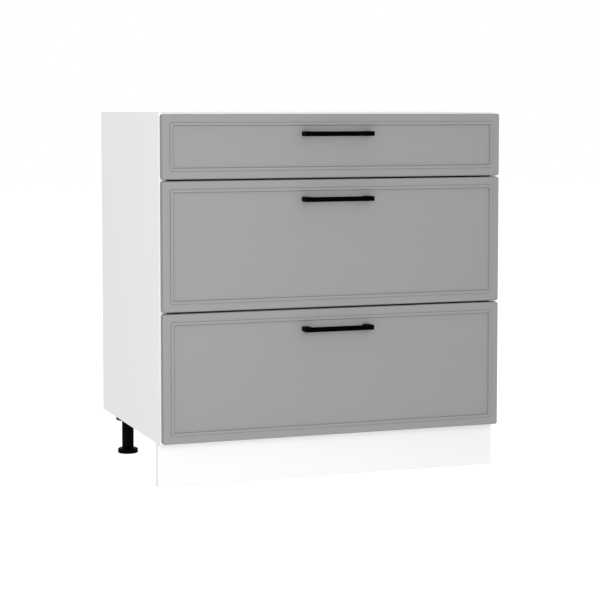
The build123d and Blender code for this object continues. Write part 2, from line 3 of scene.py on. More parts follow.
import bmesh
import bpy
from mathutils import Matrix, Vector


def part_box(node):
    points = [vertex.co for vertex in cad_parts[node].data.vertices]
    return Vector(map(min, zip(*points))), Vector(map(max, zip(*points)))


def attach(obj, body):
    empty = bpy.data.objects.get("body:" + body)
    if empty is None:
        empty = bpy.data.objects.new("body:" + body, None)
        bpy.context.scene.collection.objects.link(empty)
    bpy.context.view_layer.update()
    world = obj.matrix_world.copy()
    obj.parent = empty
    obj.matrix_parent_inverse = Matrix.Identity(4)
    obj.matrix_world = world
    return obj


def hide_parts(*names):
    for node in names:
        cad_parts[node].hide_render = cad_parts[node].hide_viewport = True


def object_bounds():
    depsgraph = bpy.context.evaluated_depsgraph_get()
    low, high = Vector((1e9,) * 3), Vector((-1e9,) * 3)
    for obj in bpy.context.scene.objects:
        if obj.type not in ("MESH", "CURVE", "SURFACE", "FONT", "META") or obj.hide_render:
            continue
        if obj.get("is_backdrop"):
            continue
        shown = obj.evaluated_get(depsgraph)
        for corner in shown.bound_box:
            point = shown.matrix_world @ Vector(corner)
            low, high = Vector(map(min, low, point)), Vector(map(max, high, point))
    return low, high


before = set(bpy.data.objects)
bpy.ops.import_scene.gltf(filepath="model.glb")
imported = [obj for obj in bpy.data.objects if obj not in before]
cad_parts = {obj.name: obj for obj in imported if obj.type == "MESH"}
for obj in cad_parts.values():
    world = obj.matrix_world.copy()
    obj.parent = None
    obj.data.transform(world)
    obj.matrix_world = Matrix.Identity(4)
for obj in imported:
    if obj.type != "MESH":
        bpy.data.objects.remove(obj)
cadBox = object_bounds()
bpy.ops.object.select_all(action='DESELECT')

places = ("bottom", "middle", "top")
feet = ("front_left", "front_right", "rear_left", "rear_right")

camera = {
    "place": (-1.44095, -4.03407, 0.8296),
    "yaw": 19.785,  # degrees to the right of straight ahead
    "pitch": 4.043,  # degrees down
    "lens": 109.86,
    "shift": (-0.00265, -0.10425),  # the picture's centre lies below the horizon of the lens
}


def setCamera():
    turn = (math.radians(90 - camera["pitch"]), 0, -math.radians(camera["yaw"]))
    bpy.ops.object.camera_add(location=camera["place"], rotation=turn)
    shot = bpy.context.object
    shot.name = "camera"
    shot.data.sensor_width = 36
    shot.data.lens = camera["lens"]
    shot.data.shift_x, shot.data.shift_y = camera["shift"]
    shot.data.clip_end = 60
    bpy.context.scene.camera = shot
    bpy.ops.object.select_all(action='DESELECT')


setCamera()
print("camera is set")


# Small helpers for node trees: put adds a node, and feeds holds a value or an output for each input
def put(tree, kind, feeds=None, **settings):
    node = tree.nodes.new(kind)
    for name, value in settings.items():
        setattr(node, name, value)
    for key, value in (feeds or {}).items():
        if isinstance(value, bpy.types.NodeSocket):
            tree.links.new(value, node.inputs[key])
        else:
            node.inputs[key].default_value = value
    return node


def compute(tree, operation, *values):
    return put(tree, 'ShaderNodeMath', dict(enumerate(values)), operation=operation).outputs[0]


def computeVector(tree, operation, *values):
    node = put(tree, 'ShaderNodeVectorMath', dict(enumerate(values)), operation=operation)
    return node.outputs["Value" if operation == 'DOT_PRODUCT' else "Vector"]


def blendColours(tree, share, first, second):
    return put(tree, 'ShaderNodeMix', {0: share, 6: first, 7: second}, data_type='RGBA').outputs[2]


studio = {
    "skyLight": 0.81,
    "floorSize": 30,
    "floorGrey": 0.3,
    "floorGlow": 0.5,  # what the floor lends to the cabinet
    "floorShown": 0.86,  # glow that the camera sees, which keeps the floor as white as the sky
    "aim": (-0.1, -0.25, 0.45),
    "lamps": {  # place, size and power of each soft box
        "keyLamp": ((-0.52, -1.75, 0.5), 1.0, 8.2),
        "leftLamp": ((-3.4, 0.3, 0.9), 2.0, 7.7),
        "frontLamp": ((-0.9, -4.6, 1.6), 1.5, 30.3),
        "rightLamp": ((0.9, -3.0, 1.0), 1.5, 0.5),
    },
}


def paintSky():
    world = bpy.data.worlds.new("studioSky")
    world.use_nodes = True
    tree = world.node_tree
    lit = tree.nodes["Background"]
    lit.inputs["Color"].default_value = (1, 1, 1, 1)
    lit.inputs["Strength"].default_value = studio["skyLight"]
    seen = put(tree, 'ShaderNodeBackground', {"Color": (1, 1, 1, 1), "Strength": 1.0})
    ray = put(tree, 'ShaderNodeLightPath')
    both = put(tree, 'ShaderNodeMixShader', {
        0: ray.outputs["Is Camera Ray"], 1: lit.outputs[0], 2: seen.outputs[0]})
    tree.links.new(both.outputs[0], tree.nodes["World Output"].inputs["Surface"])
    bpy.context.scene.world = world


def addLamp(name, place, size, power):
    aim = Vector(studio["aim"]) - Vector(place)
    bpy.ops.object.light_add(
        type='AREA', location=place, rotation=aim.to_track_quat('-Z', 'Y').to_euler())
    lamp = bpy.context.object
    lamp.name = name
    lamp.data.size = size
    lamp.data.energy = power
    lamp.visible_camera = False


def layFloor():
    bpy.ops.mesh.primitive_plane_add(size=studio["floorSize"], location=(0, 0, 0))
    floor = bpy.context.object
    floor.name = "floor"
    paint = bpy.data.materials.new("floorPaint")
    paint.use_nodes = True
    tree = paint.node_tree
    shader = tree.nodes["Principled BSDF"]
    grey = studio["floorGrey"]
    shader.inputs["Base Color"].default_value = (grey, grey, grey, 1)
    shader.inputs["Roughness"].default_value = 1.0
    shader.inputs["Specular IOR Level"].default_value = 0.0
    shader.inputs["Emission Color"].default_value = (1, 1, 1, 1)
    ray = put(tree, 'ShaderNodeLightPath')
    glow = put(tree, 'ShaderNodeMix', {
        0: ray.outputs["Is Camera Ray"], 2: studio["floorGlow"], 3: studio["floorShown"]})
    tree.links.new(glow.outputs[0], shader.inputs["Emission Strength"])
    # clear from below, so that the underside of the cabinet can be seen
    under = put(tree, 'ShaderNodeNewGeometry').outputs["Backfacing"]
    clear = put(tree, 'ShaderNodeBsdfTransparent').outputs[0]
    both = put(tree, 'ShaderNodeMixShader', {0: under, 1: shader.outputs[0], 2: clear})
    tree.links.new(both.outputs[0], tree.nodes["Material Output"].inputs["Surface"])
    floor.data.materials.append(paint)
    floor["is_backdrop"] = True


paintSky()
for name, (spot, size, power) in studio["lamps"].items():
    addLamp(name, spot, size, power)
layFloor()
bpy.context.scene.view_settings.view_transform = 'Standard'
print("studio is lit")


# Shared effects, each a node group
def startGroup(name, inputs, outputs):
    group = bpy.data.node_groups.new(name, 'ShaderNodeTree')
    for label, kind, value in inputs:
        socket = group.interface.new_socket(
            name=label, in_out='INPUT', socket_type='NodeSocket' + kind)
        socket.default_value = value
    for label, kind in outputs:
        group.interface.new_socket(name=label, in_out='OUTPUT', socket_type='NodeSocket' + kind)
    return group, put(group, 'NodeGroupInput').outputs, put(group, 'NodeGroupOutput').inputs


def objectPlace(tree):
    return put(tree, 'ShaderNodeTexCoord').outputs["Object"]


squareTo = 0.7  # a face counts as facing a direction above this cosine


def facing(tree, direction):
    normal = put(tree, 'ShaderNodeNewGeometry').outputs["True Normal"]
    return computeVector(tree, 'DOT_PRODUCT', normal, direction)


def buildStreaks():
    # long fine lines along X, Y or Z, as in printed wood grain or brushed steel
    group, given, result = startGroup(
        "streaks",
        [("Stretch", 'Vector', (4, 500, 500)), ("Waviness", 'Float', 0.02)],
        [("Shade", 'Float'), ("Height", 'Float')])
    place = objectPlace(group)
    wander = put(group, 'ShaderNodeTexNoise', {"Vector": place, "Scale": 5.0, "Detail": 2.0})
    bent = computeVector(
        group, 'MULTIPLY_ADD', wander.outputs["Color"], given["Waviness"], place)
    scaled = computeVector(group, 'MULTIPLY', bent, given["Stretch"])
    coarse = put(group, 'ShaderNodeTexNoise', {"Vector": scaled, "Scale": 0.3, "Detail": 3.0})
    fine = put(group, 'ShaderNodeTexNoise', {"Vector": scaled, "Scale": 1.6, "Detail": 6.0})
    shade = compute(group, 'MULTIPLY_ADD', fine.outputs["Fac"], 0.55,
                    compute(group, 'MULTIPLY', coarse.outputs["Fac"], 0.45))
    group.links.new(shade, result["Shade"])
    group.links.new(fine.outputs["Fac"], result["Height"])
    return group


def buildPebble():
    # the fine orange peel of a pressed, moulded or sprayed surface
    group, given, result = startGroup(
        "pebble", [("Size", 'Float', 0.001)], [("Shade", 'Float'), ("Height", 'Float')])
    place = objectPlace(group)
    density = compute(group, 'DIVIDE', 1.0, given["Size"])
    grain = put(group, 'ShaderNodeTexNoise', {"Vector": place, "Scale": density, "Detail": 4.0})
    cells = put(group, 'ShaderNodeTexVoronoi', {"Vector": place, "Scale": density},
                feature='SMOOTH_F1')
    height = compute(group, 'MULTIPLY_ADD', cells.outputs["Distance"], -0.5, grain.outputs["Fac"])
    group.links.new(grain.outputs["Fac"], result["Shade"])
    group.links.new(height, result["Height"])
    return group


def buildCloud():
    # slow drift of tone over a whole board or casting
    group, given, result = startGroup(
        "cloud",
        [("Colour", 'Color', (0.8, 0.8, 0.8, 1)), ("Size", 'Float', 0.3), ("Amount", 'Float', 0.02)],
        [("Colour", 'Color')])
    density = compute(group, 'DIVIDE', 1.0, given["Size"])
    drift = put(group, 'ShaderNodeTexNoise', {
        "Vector": objectPlace(group), "Scale": density, "Detail": 3.0})
    swing = compute(group, 'MULTIPLY', compute(group, 'SUBTRACT', drift.outputs["Fac"], 0.5), 2.0)
    gain = compute(group, 'MULTIPLY_ADD', swing, given["Amount"], 1.0)
    group.links.new(
        computeVector(group, 'MULTIPLY', given["Colour"], gain), result["Colour"])
    return group


chipboard = {
    "chipSize": 0.0022,
    "brownChip": (0.50, 0.33, 0.17, 1),
    "paleChip": (0.74, 0.57, 0.36, 1),
    "hollow": (0.24, 0.14, 0.07, 1),
    "hollowFrom": 0.6,  # of the fibre noise
    "hollowShare": 0.6,
    "fibresPerChip": 1.7,
}


def buildBareBoard():
    # chipboard that shows on the cut faces of a board inside a box, and nowhere on its coated faces
    group, given, result = startGroup(
        "bareBoard",
        [("Coated axis", 'Vector', (1, 0, 0)), ("Bare low", 'Vector', (-1, -1, -1)),
         ("Bare high", 'Vector', (1, 1, 1)), ("Chip size", 'Float', chipboard["chipSize"])],
        [("Mask", 'Float'), ("Colour", 'Color'), ("Height", 'Float')])
    place = objectPlace(group)
    inside = computeVector(
        group, 'MINIMUM',
        computeVector(group, 'SUBTRACT', place, given["Bare low"]),
        computeVector(group, 'SUBTRACT', given["Bare high"], place))
    parts = put(group, 'ShaderNodeSeparateXYZ', {0: inside}).outputs
    least = compute(group, 'MINIMUM', compute(group, 'MINIMUM', parts[0], parts[1]), parts[2])
    flatness = compute(group, 'ABSOLUTE', facing(group, given["Coated axis"]))
    cut = compute(group, 'LESS_THAN', flatness, squareTo)
    mask = compute(group, 'MULTIPLY', compute(group, 'GREATER_THAN', least, 0.0), cut)
    density = compute(group, 'DIVIDE', 1.0, given["Chip size"])
    finer = compute(group, 'MULTIPLY', density, chipboard["fibresPerChip"])
    chips = put(group, 'ShaderNodeTexVoronoi', {"Vector": place, "Scale": density})
    fibre = put(group, 'ShaderNodeTexNoise', {"Vector": place, "Scale": finer, "Detail": 6.0})
    tint = put(group, 'ShaderNodeSeparateColor', {0: chips.outputs["Color"]}).outputs[0]
    woody = blendColours(group, tint, chipboard["brownChip"], chipboard["paleChip"])
    sunk = compute(group, 'GREATER_THAN', fibre.outputs["Fac"], chipboard["hollowFrom"])
    dark = compute(group, 'MULTIPLY', sunk, chipboard["hollowShare"])
    group.links.new(mask, result["Mask"])
    group.links.new(blendColours(group, dark, woody, chipboard["hollow"]), result["Colour"])
    group.links.new(compute(group, 'ADD', tint, fibre.outputs["Fac"]), result["Height"])
    return group


effects = {
    "streaks": buildStreaks(),
    "pebble": buildPebble(),
    "cloud": buildCloud(),
    "bareBoard": buildBareBoard(),
}


def addEffect(tree, effect, feeds):
    return put(tree, 'ShaderNodeGroup', feeds, node_tree=effects[effect]).outputs


def startMaterial(name, metallic=0.0, specular=0.5):
    made = bpy.data.materials.new(name)
    made.use_nodes = True
    tree = made.node_tree
    shader = tree.nodes["Principled BSDF"]
    shader.inputs["Metallic"].default_value = metallic
    shader.inputs["Specular IOR Level"].default_value = specular
    return made, tree, shader


def feed(tree, shader, name, output):
    tree.links.new(output, shader.inputs[name])


def addBump(tree, shader, height, depth):
    bump = put(tree, 'ShaderNodeBump', {"Height": height, "Distance": depth})
    feed(tree, shader, "Normal", bump.outputs[0])


def varyRoughness(tree, shader, shade, low, high):
    # most of a noise lies between 0.3 and 0.7
    spread = put(tree, 'ShaderNodeMapRange', {0: shade, 1: 0.3, 2: 0.7, 3: low, 4: high})
    feed(tree, shader, "Roughness", spread.outputs[0])


foil = {
    "dark": (0.266, 0.266, 0.259, 1),
    "light": (0.289, 0.289, 0.282, 1),
    "stretch": (3.0, 60.0, 420.0),
    "waviness": 0.006,
    "driftSize": 0.35,
    "drift": 0.012,
    "grainDepth": 0.00002,
    "flankShadeTone": 0.88,  # painted shade: share of the foil colour kept on flanks, rounded edges and sides, darker than on flat faces
    "flankTo": 0.5,  # cosines between which a flank turns into a flat face
    "flatFrom": 0.95,
    "roughness": (0.46, 0.56),
}


def makeFoil():
    made, tree, shader = startMaterial("greyFoil", specular=0.4)
    grain = addEffect(tree, "streaks", {"Stretch": foil["stretch"], "Waviness": foil["waviness"]})
    tone = blendColours(tree, grain["Shade"], foil["dark"], foil["light"])
    cloud = addEffect(tree, "cloud", {
        "Colour": tone, "Size": foil["driftSize"], "Amount": foil["drift"]})
    # painted shade: faces turned away from the front, such as the bead's flanks, the rounded edges and
    # the sides, get a darker foil colour
    flatness = compute(tree, 'ABSOLUTE', facing(tree, (0, 1, 0)))
    shadedFlanks = put(tree, 'ShaderNodeMapRange', {
        0: flatness, 1: foil["flankTo"], 2: foil["flatFrom"], 3: foil["flankShadeTone"], 4: 1.0})
    feed(tree, shader, "Base Color",
         computeVector(tree, 'MULTIPLY', cloud["Colour"], shadedFlanks.outputs[0]))
    varyRoughness(tree, shader, grain["Shade"], *foil["roughness"])
    addBump(tree, shader, grain["Height"], foil["grainDepth"])
    return made


melamine = {
    "white": (0.88, 0.88, 0.875, 1),
    # painted highlight: the lighter white given to front-facing faces of the carcass boards, which lie in
    # shade behind the fronts
    "frontToneAndHighlight": (0.96, 0.96, 0.955, 1),
    "plinth": (0.852, 0.852, 0.847, 1),
    "driftSize": 0.4,
    "drift": 0.006,
    "peel": 0.0009,
    "peelDepth": 0.000012,
    "roughness": 0.36,
    "roughnessSwing": 0.12,
    "bareRoughness": 0.9,
    "bareRise": 12.0,  # of the chips over the peel
    "bandDepth": 0.0008,  # of the white strip on an edge
}


def makeMelamine(name, coatedAxis, bareLow, bareHigh, frontToneAndHighlight=melamine["white"]):
    # white all over, but for the cut faces inside the box from bareLow to bareHigh
    made, tree, shader = startMaterial(name, specular=0.4)
    # front-facing faces get their own colour: a painted highlight on the carcass boards, and the plinth's
    # own face colour on the plinth
    onFront = compute(tree, 'GREATER_THAN', facing(tree, (0, -1, 0)), squareTo)
    white = blendColours(tree, onFront, melamine["white"], frontToneAndHighlight)
    cloud = addEffect(tree, "cloud", {
        "Colour": white, "Size": melamine["driftSize"], "Amount": melamine["drift"]})
    peel = addEffect(tree, "pebble", {"Size": melamine["peel"]})
    bare = addEffect(tree, "bareBoard", {
        "Coated axis": coatedAxis, "Bare low": bareLow, "Bare high": bareHigh})
    feed(tree, shader, "Base Color",
         blendColours(tree, bare["Mask"], cloud["Colour"], bare["Colour"]))
    coated = compute(
        tree, 'MULTIPLY_ADD', peel["Shade"], melamine["roughnessSwing"], melamine["roughness"])
    rough = put(tree, 'ShaderNodeMix', {0: bare["Mask"], 2: coated, 3: melamine["bareRoughness"]})
    feed(tree, shader, "Roughness", rough.outputs[0])
    deep = compute(tree, 'MULTIPLY', bare["Height"], melamine["bareRise"])
    height = put(tree, 'ShaderNodeMix', {0: bare["Mask"], 2: peel["Height"], 3: deep}).outputs[0]
    addBump(tree, shader, height, melamine["peelDepth"])
    return made


hard = {
    "white": (0.85, 0.85, 0.84, 1),
    "brown": (0.200, 0.115, 0.058, 1),
    "pale": (0.330, 0.205, 0.112, 1),
    "fibre": 0.0035,
    "fibreFrom": 0.32,  # limits of the noise between brown and pale
    "fibreTo": 0.68,
    "blotch": 0.09,
    "blotchTone": 0.22,
    "mesh": 0.0022,  # print of the wire mesh that the board was pressed on
    "meshShare": 0.5,
    "depth": 0.00006,
    "roughness": 0.78,
    "whiteRoughness": 0.38,
}


def makeHardboard(name, whiteSide):
    # white lacquer on the face that points along whiteSide, pressed brown fibre elsewhere
    made, tree, shader = startMaterial(name, specular=0.35)
    lacquered = compute(tree, 'GREATER_THAN', facing(tree, whiteSide), squareTo)
    fibre = addEffect(tree, "pebble", {"Size": hard["fibre"]})
    strength = put(tree, 'ShaderNodeMapRange', {
        0: fibre["Shade"], 1: hard["fibreFrom"], 2: hard["fibreTo"]}).outputs[0]
    strands = blendColours(tree, strength, hard["brown"], hard["pale"])
    cloud = addEffect(tree, "cloud", {
        "Colour": strands, "Size": hard["blotch"], "Amount": hard["blotchTone"]})
    white = addEffect(tree, "cloud", {
        "Colour": hard["white"], "Size": melamine["driftSize"], "Amount": melamine["drift"]})
    feed(tree, shader, "Base Color",
         blendColours(tree, lacquered, cloud["Colour"], white["Colour"]))
    rough = put(tree, 'ShaderNodeMix', {
        0: lacquered, 2: hard["roughness"], 3: hard["whiteRoughness"]})
    feed(tree, shader, "Roughness", rough.outputs[0])
    density = 2 * math.pi / hard["mesh"]
    waves = computeVector(tree, 'SINE', computeVector(
        tree, 'MULTIPLY', objectPlace(tree), (density, density, density)))
    along = put(tree, 'ShaderNodeSeparateXYZ', {0: waves}).outputs
    weave = compute(
        tree, 'MULTIPLY', compute(tree, 'MULTIPLY', along[0], along[2]), hard["meshShare"])
    rise = compute(tree, 'ADD', weave, fibre["Height"])
    height = put(tree, 'ShaderNodeMix', {0: lacquered, 2: rise, 3: 0.0}).outputs[0]
    addBump(tree, shader, height, hard["depth"])
    return made


black = {
    "driftSize": 0.05,
    "drift": 0.08,
    "roughnessSwing": 0.06,
}


def makeBlack(name, grey, grain, depth, roughness, specular):
    made, tree, shader = startMaterial(name, specular=specular)
    cloud = addEffect(tree, "cloud", {
        "Colour": (grey, grey, grey, 1), "Size": black["driftSize"], "Amount": black["drift"]})
    peel = addEffect(tree, "pebble", {"Size": grain})
    feed(tree, shader, "Base Color", cloud["Colour"])
    swing = black["roughnessSwing"]
    varyRoughness(tree, shader, peel["Shade"], roughness - swing, roughness + swing)
    addBump(tree, shader, peel["Height"], depth)
    return made


zinc = {
    "dullTone": 0.86,  # of the darker lines
    "driftSize": 0.06,
    "drift": 0.05,
    "blotchShare": 0.4,  # in the roughness, beside the lines
    "smoother": 0.08,
    "rougher": 0.12,
    "lineDepth": 0.000004,
}


def makeSteel(name, tone, roughness, stretch, grain):
    # zinc plating over rolled or turned steel: fine lines with faint blotches between them
    made, tree, shader = startMaterial(name, metallic=1.0)
    lines = addEffect(tree, "streaks", {"Stretch": stretch, "Waviness": 0.0})
    blotch = addEffect(tree, "pebble", {"Size": grain})
    dull = tuple(zinc["dullTone"] * part for part in tone[:3]) + (1,)
    worn = blendColours(tree, lines["Shade"], dull, tone)
    cloud = addEffect(tree, "cloud", {
        "Colour": worn, "Size": zinc["driftSize"], "Amount": zinc["drift"]})
    feed(tree, shader, "Base Color", cloud["Colour"])
    mixed = compute(tree, 'MULTIPLY_ADD', blotch["Shade"], zinc["blotchShare"],
                    compute(tree, 'MULTIPLY', lines["Shade"], 1 - zinc["blotchShare"]))
    varyRoughness(tree, shader, mixed, roughness - zinc["smoother"], roughness + zinc["rougher"])
    addBump(tree, shader, lines["Height"], zinc["lineDepth"])
    return made


dowelWood = {
    "brown": (0.46, 0.28, 0.14, 1),
    "pale": (0.66, 0.46, 0.28, 1),
    "stretch": (40, 900, 900),
    "waviness": 0.002,
    "roughness": (0.52, 0.68),
    "grainDepth": 0.00004,
}


def makeBeech():
    made, tree, shader = startMaterial("beech", specular=0.3)
    rays = addEffect(tree, "streaks", {
        "Stretch": dowelWood["stretch"], "Waviness": dowelWood["waviness"]})
    feed(tree, shader, "Base Color",
         blendColours(tree, rays["Shade"], dowelWood["brown"], dowelWood["pale"]))
    varyRoughness(tree, shader, rays["Shade"], *dowelWood["roughness"])
    addBump(tree, shader, rays["Height"], dowelWood["grainDepth"])
    return made


far = 5.0  # a limit that no board reaches
band = melamine["bandDepth"]
sideLow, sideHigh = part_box("side_panel_left")
railLow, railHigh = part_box("top_rails")
plinthLow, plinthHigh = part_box("plinth_board")

sideBoard = makeMelamine(
    "sideBoard", (1, 0, 0), (-far, sideLow.y + band, sideLow.z + band),
    (far, far, sideHigh.z - band), melamine["frontToneAndHighlight"])
floorBoard = makeMelamine(
    "floorBoard", (0, 0, 1), (-far, sideLow.y + band, -far), (far, far, far),
    melamine["frontToneAndHighlight"])
railBoard = makeMelamine(
    "railBoard", (0, 0, 1), (-far, sideLow.y + band, -far),
    (far, (railLow.y + railHigh.y) / 2, far), melamine["frontToneAndHighlight"])
plinthCoat = makeMelamine(
    "plinthCoat", (0, 1, 0), (plinthLow.x + band, plinthLow.y + band, plinthLow.z + band),
    (plinthHigh.x - band, far, far), melamine["plinth"])
frontBack = makeMelamine("frontBack", (0, 1, 0), (far, far, far), (far, far, far))  # nowhere bare
greyFoil = makeFoil()
blackPowder = makeBlack(
    "blackPowder", grey=0.0006, grain=0.0006, depth=0.00002, roughness=0.5, specular=0.012)
blackPlastic = makeBlack(
    "blackPlastic", grey=0.0015, grain=0.0008, depth=0.00003, roughness=0.55, specular=0.03)
rolledZinc = makeSteel(
    "rolledZinc", tone=(0.74, 0.76, 0.79, 1), roughness=0.30, stretch=(30, 3, 900), grain=0.003)
cageZinc = makeSteel(
    "cageZinc", tone=(0.68, 0.69, 0.71, 1), roughness=0.26, stretch=(300, 6, 900), grain=0.0015)
screwZinc = makeSteel(
    "screwZinc", tone=(0.78, 0.79, 0.80, 1), roughness=0.28, stretch=(500, 500, 500), grain=0.0012)
castZinc = makeSteel(
    "castZinc", tone=(0.56, 0.57, 0.58, 1), roughness=0.48, stretch=(700, 700, 700), grain=0.0009)
beech = makeBeech()


def boxBoard(node):
    # boards of a drawer box: coated faces across one axis, white strips on the upper edges
    low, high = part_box(node)
    axis = (1, 0, 0) if "sides" in node else (0, 1, 0)
    return makeMelamine(node + "Coat", axis, (-far, -far, -far), (far, far, high.z - band))


def dress(node, *paints):
    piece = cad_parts[node]
    piece.data.materials.clear()
    for paint in paints:
        piece.data.materials.append(paint)


for node in ("side_panel_left", "side_panel_right"):
    dress(node, sideBoard)
dress("bottom_panel", floorBoard)
dress("top_rails", railBoard)
dress("plinth_board", plinthCoat)
dress("back_panel", makeHardboard("backBoard", (0, -1, 0)))
trayBoard = makeHardboard("trayBoard", (0, 0, 1))
for node in ("leg_sockets", "plinth_clips"):
    dress(node, blackPlastic)
dress("slide_outer_members", rolledZinc)
dress("chipboard_screws", screwZinc)
dress("cam_bolts", screwZinc)
dress("cam_locks", castZinc)
dress("wooden_dowels", beech)
for part in places:
    for node in ("box_sides_", "box_front_", "box_back_"):
        dress(node + part, boxBoard(node + part))
    dress("box_bottom_" + part, trayBoard)
    for node in ("slide_inner_", "slide_intermediate_"):
        dress(node + part, rolledZinc)
    for node in ("ball_cages_outer_", "ball_cages_inner_"):
        dress(node + part, cageZinc)
    for node in ("handle_screws_", "box_screws_", "front_screws_", "slide_inner_screws_"):
        dress(node + part, screwZinc)
print("frame is dressed")


slack = 0.00001  # when faces and edges are picked by their place


# Modelling helpers, for a piece in edit mode
def pick(kind, wanted):
    mesh = bmesh.from_edit_mesh(bpy.context.edit_object.data)
    bpy.ops.mesh.select_mode(type=kind)
    bpy.ops.mesh.select_all(action='DESELECT')
    for item in {'EDGE': mesh.edges, 'FACE': mesh.faces}[kind]:
        if wanted(item):
            item.select_set(True)
    mesh.select_flush_mode()
    bmesh.update_edit_mesh(bpy.context.edit_object.data)


def middleOf(edge):
    return (edge.verts[0].co + edge.verts[1].co) / 2


def isSharp(edge, degrees=30):
    return len(edge.link_faces) == 2 and edge.calc_face_angle() > math.radians(degrees)


def finishPiece(piece, name, *paints, smooth=40):
    # a lone object at the origin, smooth over its rounded edges and flat between them
    bpy.ops.object.mode_set(mode='OBJECT')
    bpy.ops.object.select_all(action='DESELECT')
    piece.select_set(True)
    bpy.context.view_layer.objects.active = piece
    bpy.ops.object.transform_apply(location=True, rotation=True, scale=True)
    bpy.ops.object.mode_set(mode='EDIT')
    bpy.ops.mesh.select_all(action='SELECT')
    bpy.ops.mesh.normals_make_consistent(inside=False)
    bpy.ops.object.mode_set(mode='OBJECT')
    bpy.ops.object.shade_smooth_by_angle(angle=math.radians(smooth))
    bpy.ops.object.modifier_add(type='WEIGHTED_NORMAL')
    piece.modifiers[-1].keep_sharp = True
    bpy.ops.object.modifier_apply(modifier=piece.modifiers[-1].name)
    piece.name = name
    piece.data.materials.clear()
    for paint in paints:
        piece.data.materials.append(paint)
    bpy.ops.object.select_all(action='DESELECT')
    return piece


def copyPiece(piece, name, move):
    twin = piece.copy()
    twin.data = piece.data.copy()
    twin.name = name
    bpy.context.scene.collection.objects.link(twin)
    for vert in twin.data.vertices:
        vert.co += move
    return twin


def stand(piece, node, body):
    # the piece shows in place of a frame node and moves with its body
    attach(piece, body)
    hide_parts(node)


front = {
    "cornerRound": 0.0045,
    "edgeRound": 0.003,
    "beadRise": 0.0025,  # above the rim
    "beadFrom": 0.0172,  # from the edge of the front to the foot of the bead
    "beadTo": 0.0236,  # and to its inner lip
    "beadCorner": 0.005,
    "fieldDrop": 0.004,
    "flank": 24,  # degrees off square
    "softness": 0.00027,
    "cornerSteps": 8,
    "edgeSteps": 6,
    "softSteps": 3,
    "leastField": 0.01,  # square metres, more than any face has but the large flat one
    "shortEdge": 0.0005,  # the edges left by a corner's rounding are shorter, and are merged
    "rimMargin": 0.01,  # of the rim, which keeps its own edges
}


def addPlate(low, high, corner, y):
    # a flat plate across the cabinet, with rounded corners, left in edit mode and selected
    bpy.ops.mesh.primitive_plane_add(size=1, location=(0, 0, 0), rotation=(math.pi / 2, 0, 0))
    plate = bpy.context.object
    plate.scale = (high[0] - low[0], high[1] - low[1], 1)
    plate.location = ((low[0] + high[0]) / 2, y, (low[1] + high[1]) / 2)
    bpy.ops.object.transform_apply(location=True, rotation=True, scale=True)
    bpy.ops.object.mode_set(mode='EDIT')
    bpy.ops.mesh.select_all(action='SELECT')
    bpy.ops.mesh.bevel(offset=corner, segments=front["cornerSteps"], affect='VERTICES')
    return plate


def modelFront(part):
    low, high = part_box("front_" + part)
    rimY = low.y + front["beadRise"]

    # board with rounded corners and edges, open where the bead goes
    board = addPlate((low.x, low.z), (high.x, high.z), front["cornerRound"], high.y)
    bpy.ops.mesh.extrude_region_move(TRANSFORM_OT_translate={"value": (0, rimY - high.y, 0)})
    bpy.ops.mesh.region_to_loop()
    bpy.ops.mesh.bevel(offset=front["edgeRound"], segments=front["edgeSteps"], affect='EDGES')
    pick('FACE', lambda f: f.calc_center_median().y < rimY + slack
         and f.calc_area() > front["leastField"])
    bpy.ops.mesh.delete(type='ONLY_FACE')
    bpy.ops.object.mode_set(mode='OBJECT')
    bpy.ops.object.select_all(action='DESELECT')

    # bead and sunk field, inset by inset from the foot of the bead
    slope = math.tan(math.radians(front["flank"]))
    start, corner = front["beadFrom"], front["beadCorner"]
    flank = front["beadRise"] * slope
    bead = addPlate((low.x + start, low.z + start), (high.x - start, high.z - start), corner, rimY)
    bpy.ops.mesh.inset(thickness=flank, depth=front["beadRise"])
    bpy.ops.mesh.inset(thickness=corner - flank)
    pick('EDGE', lambda e: e.calc_length() < front["shortEdge"] and middleOf(e).y < low.y + slack)
    bpy.ops.mesh.merge(type='COLLAPSE')
    pick('FACE', lambda f: f.calc_area() > front["leastField"])
    bpy.ops.mesh.inset(thickness=front["beadTo"] - start - corner)
    bpy.ops.mesh.inset(thickness=front["fieldDrop"] * slope, depth=-front["fieldDrop"])
    bpy.ops.object.mode_set(mode='OBJECT')

    board.select_set(True)
    bead.select_set(True)
    bpy.context.view_layer.objects.active = board
    bpy.ops.object.join()
    bpy.ops.object.mode_set(mode='EDIT')
    bpy.ops.mesh.select_mode(type='EDGE')
    bpy.ops.mesh.select_all(action='DESELECT')
    bpy.ops.mesh.select_non_manifold()
    bpy.ops.mesh.bridge_edge_loops()
    rim, fieldY = front["rimMargin"], low.y + front["fieldDrop"]
    pick('EDGE', lambda e: isSharp(e) and middleOf(e).y < fieldY + slack
         and low.x + rim < middleOf(e).x < high.x - rim
         and low.z + rim < middleOf(e).z < high.z - rim)
    bpy.ops.mesh.bevel(offset=front["softness"], segments=front["softSteps"], affect='EDGES')
    pick('FACE', lambda f: f.calc_center_median().y > high.y - slack)
    backFace = [f.index for f in bmesh.from_edit_mesh(board.data).faces if f.select]
    finishPiece(board, part + "Front", greyFoil, frontBack)
    for index in backFace:
        board.data.polygons[index].material_index = 1
    stand(board, "front_" + part, "drawer_" + part)


for part in places:
    modelFront(part)
print("fronts are made")


handle = {
    "post": 0.016,
    "bar": 0.008,  # thickness of the grip
    "outerRound": 0.0011,
    "outerSteps": 4,
    "innerRound": 0.003,
    "innerSteps": 6,
    "footMargin": 0.0001,  # the edges that stand on the front stay sharp
}


